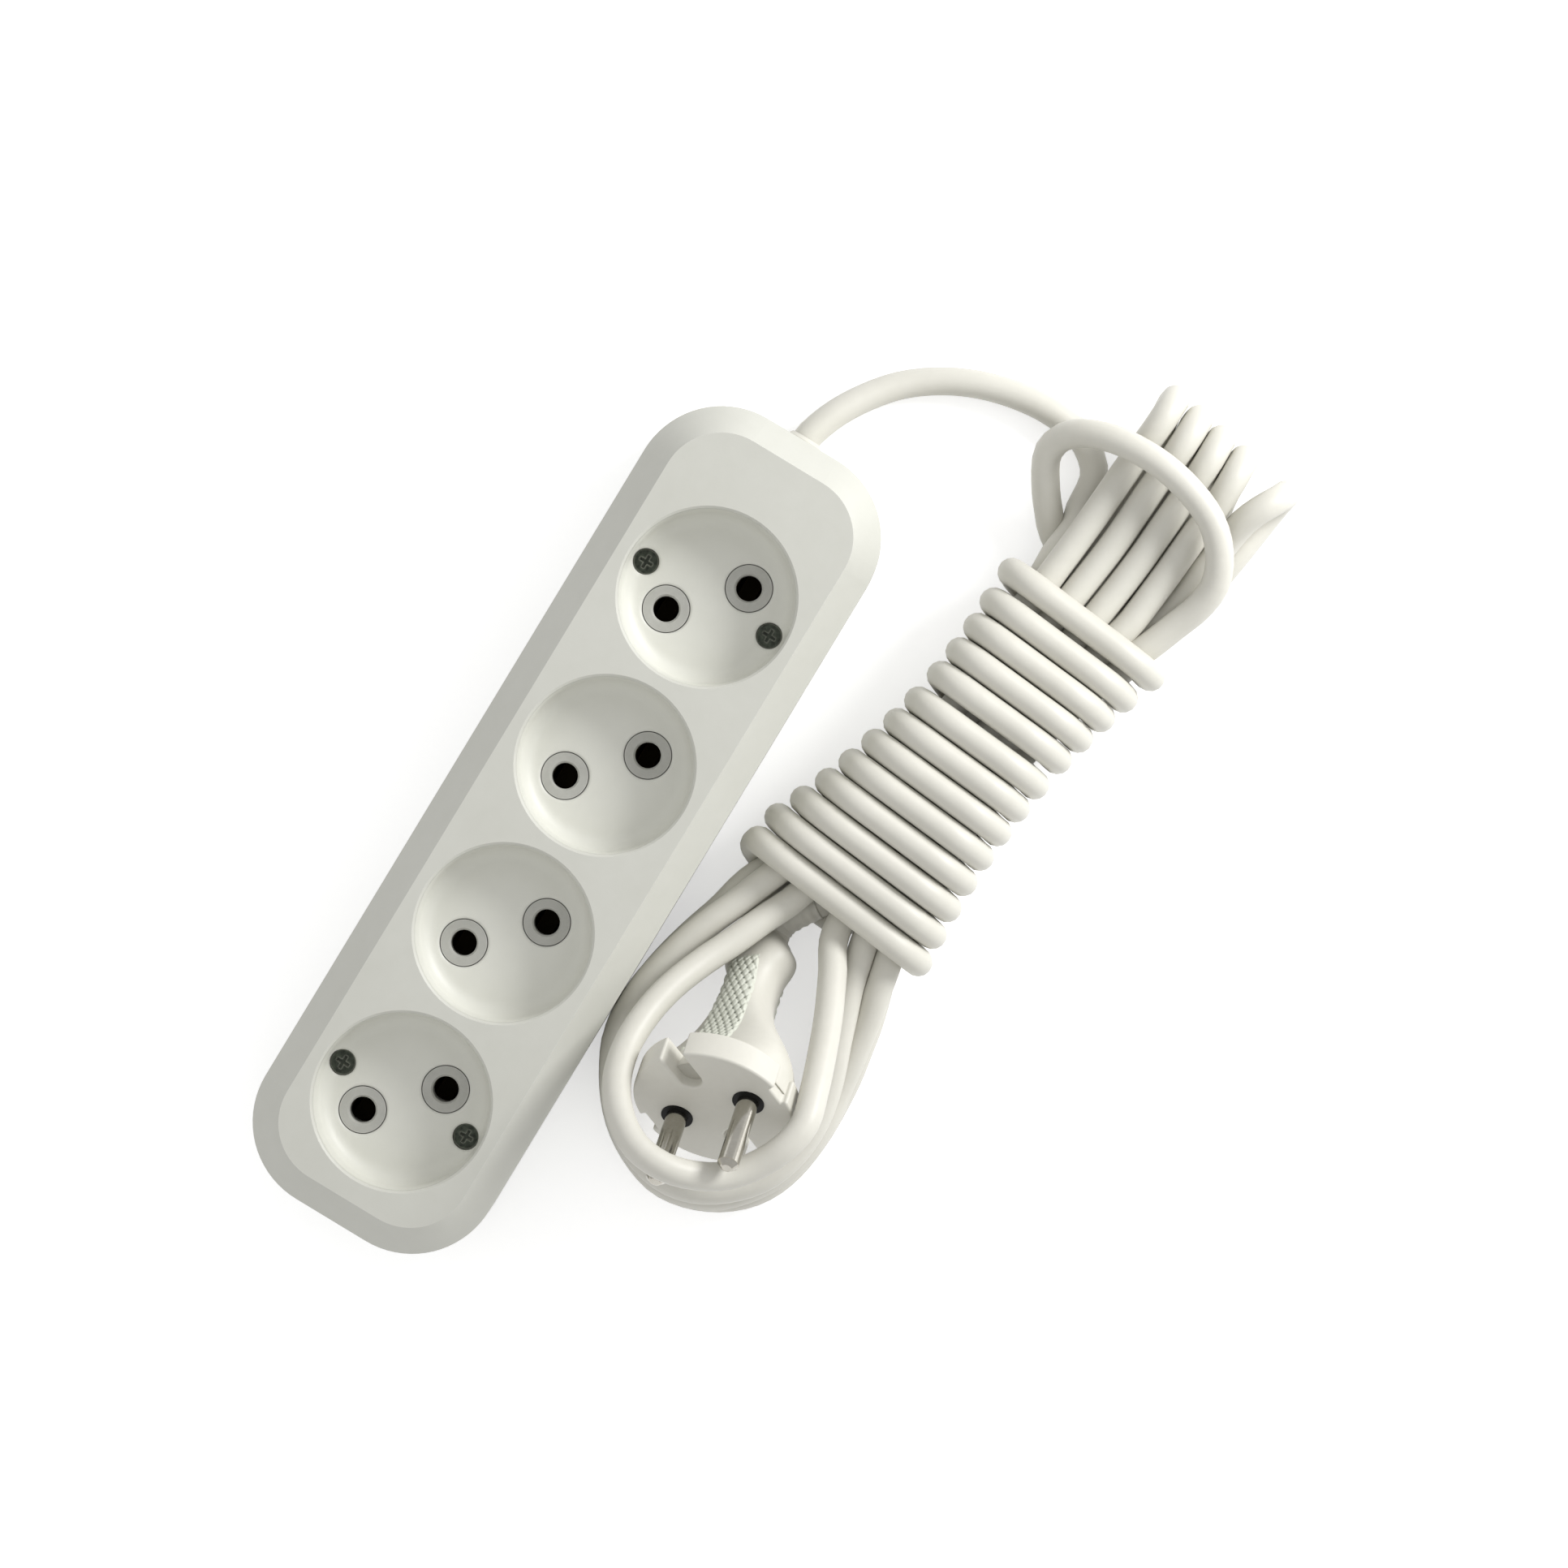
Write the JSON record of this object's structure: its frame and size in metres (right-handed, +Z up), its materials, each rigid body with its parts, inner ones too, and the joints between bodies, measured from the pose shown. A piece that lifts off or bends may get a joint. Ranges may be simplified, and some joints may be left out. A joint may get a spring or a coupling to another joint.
{
  "type": "extension cord",
  "caption": "Socket strip for round-pin plugs in a long white housing with round corners, with its white cord wound into a hank and a leaning contour plug.",
  "frame": {"origin": "middle of the housing's underside, on the floor", "axes": "+X along the housing towards the end the cord leaves, +Z up out of the sockets; the hank of cord lies on the -Y side"},
  "size_m": [0.2564, 0.131, 0.0583],
  "materials": {
    "housing": "satin moulded",
    "carrier": "matt moulded",
    "brass": "bright stamped",
    "core_brown": "smooth",
    "core_blue": "smooth",
    "dark_steel": "blackened",
    "clamp": "matt moulded",
    "zinc_steel": "zinc plated",
    "jacket": "soft satin",
    "plug": "soft satin",
    "black_insert": "matt",
    "nickel": "nickel plated"
  },
  "bodies": {
    "root": {"top_cover": "housing", "base_tray": "housing", "socket_cup_1": "housing", "socket_cup_2": "housing", "socket_cup_3": "housing", "socket_cup_4": "housing", "contact_carrier_1": "carrier", "contact_carrier_2": "carrier", "contact_carrier_3": "carrier", "contact_carrier_4": "carrier", "busbar_line": "brass", "busbar_neutral": "brass", "core_line": "core_brown", "core_neutral": "core_blue", "cover_screws": "dark_steel", "cord_clamp": "clamp", "clamp_screws": "zinc_steel", "cord_gland": "jacket", "plug_body": "plug", "plug_bridge": "black_insert", "plug_pin_line": "nickel", "plug_pin_neutral": "nickel", "plug_relief": "plug", "cord_lead": "jacket", "cord_neck": "jacket", "cord_bight": "jacket", "cord_hank": "jacket"}
  },
  "joints": []
}
